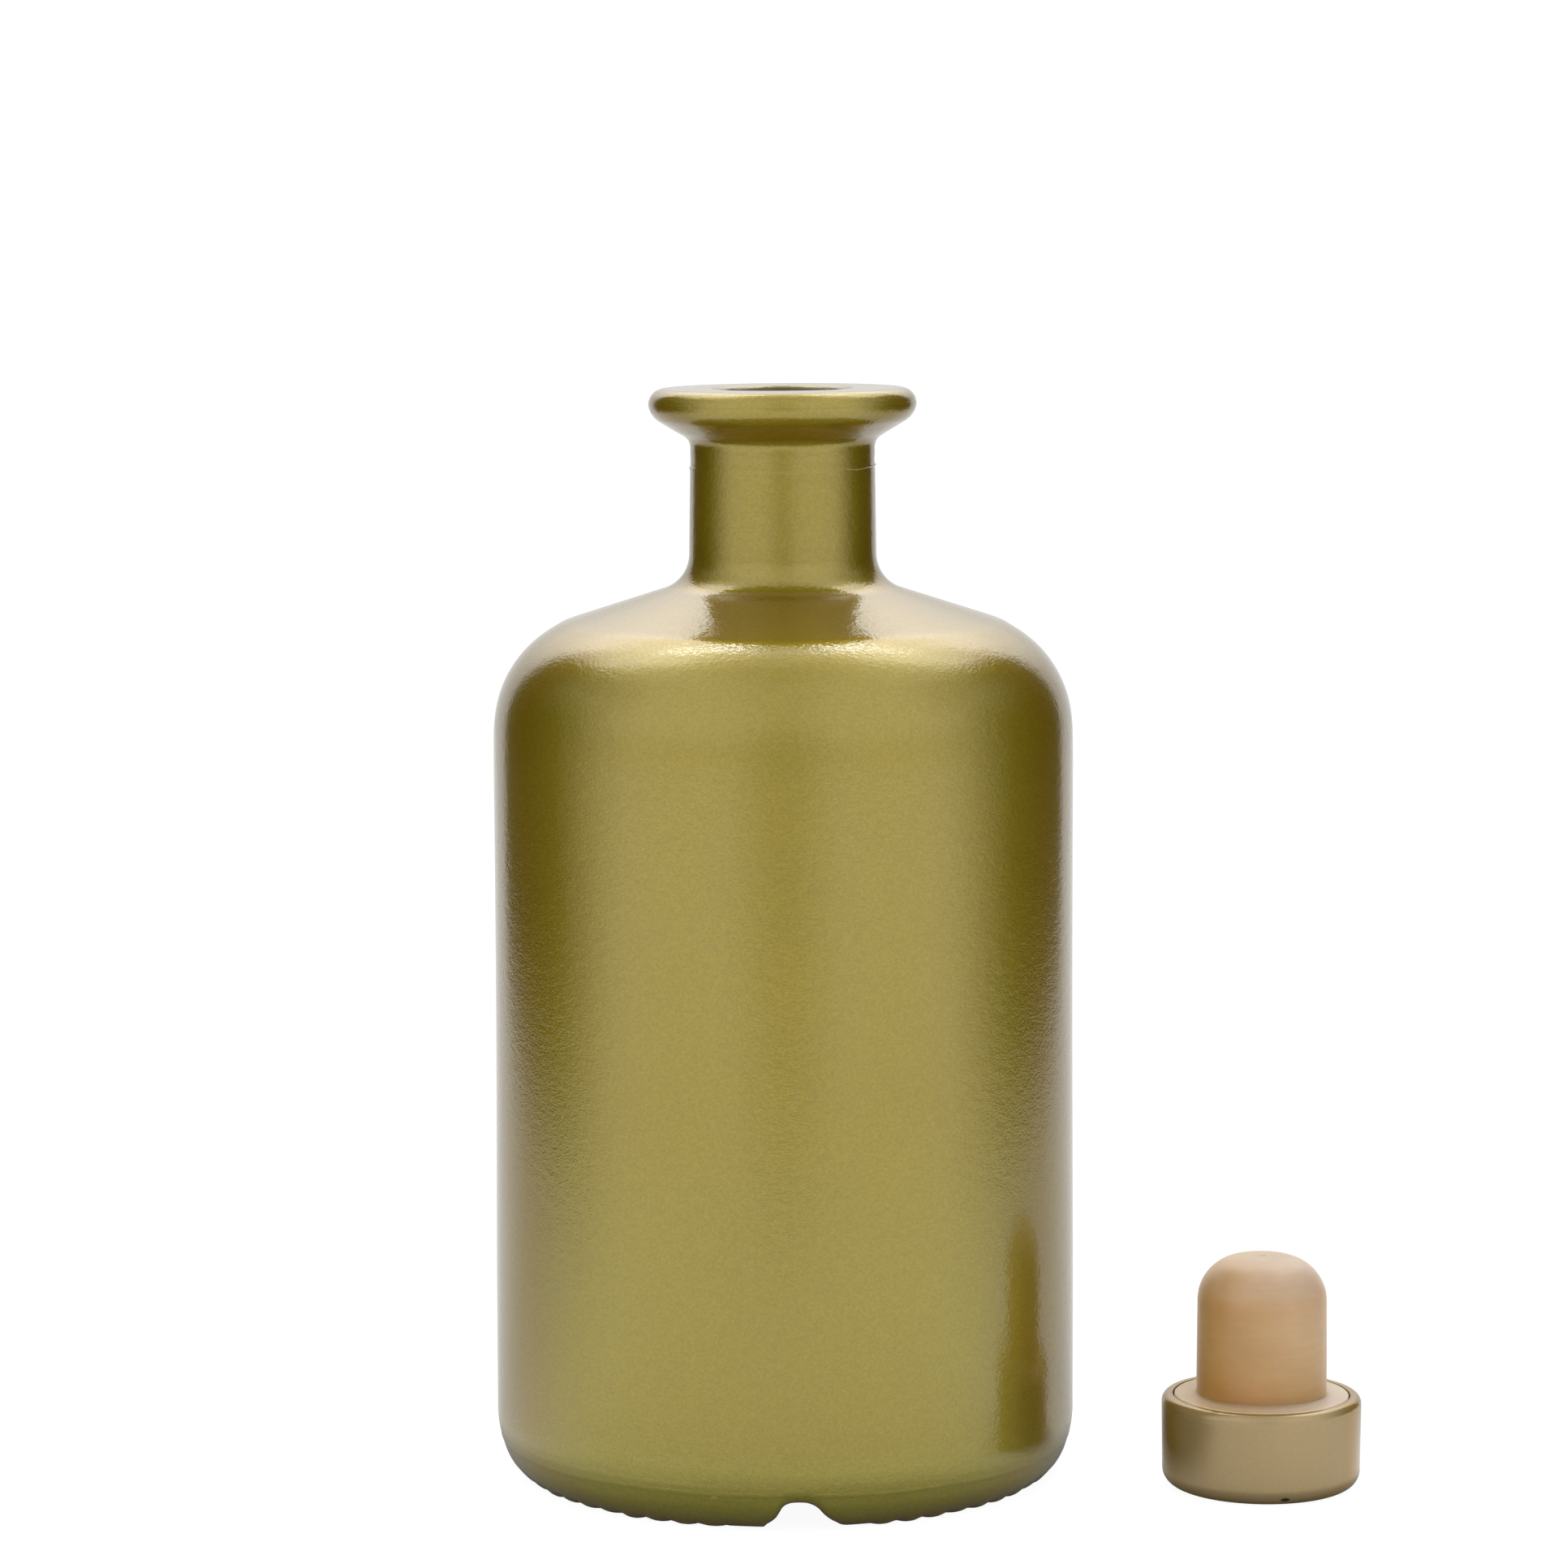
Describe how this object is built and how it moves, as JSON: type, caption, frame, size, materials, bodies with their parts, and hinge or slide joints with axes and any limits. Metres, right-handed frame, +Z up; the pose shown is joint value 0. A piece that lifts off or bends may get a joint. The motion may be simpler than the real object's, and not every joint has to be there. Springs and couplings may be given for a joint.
{
  "type": "apothecary bottle",
  "caption": "Broad round-shouldered glass bottle in opaque gold lacquer with a short neck and rolled flat lip, standing open and empty, its push-in bar-top stopper upside down beside it",
  "frame": {"origin": "on the bottle's axis, at the plane its bearing ring stands on", "axes": "+Z up along the bottle's axis towards its mouth; front, the side with the orientation notch, towards -Y; the stopper stands towards +X"},
  "size_m": [0.1254, 0.0844, 0.158],
  "materials": {
    "lacquered_glass": "opaque gold metallic lacquer under a satin clear coat",
    "cap_gold": "gold metallic lacquer, satin gloss",
    "synthetic_cork": "smooth matt beige synthetic cork"
  },
  "bodies": {
    "root": {"bottle": "lacquered_glass", "stopper_cap": "cap_gold", "stopper_cork": "synthetic_cork"}
  },
  "joints": []
}
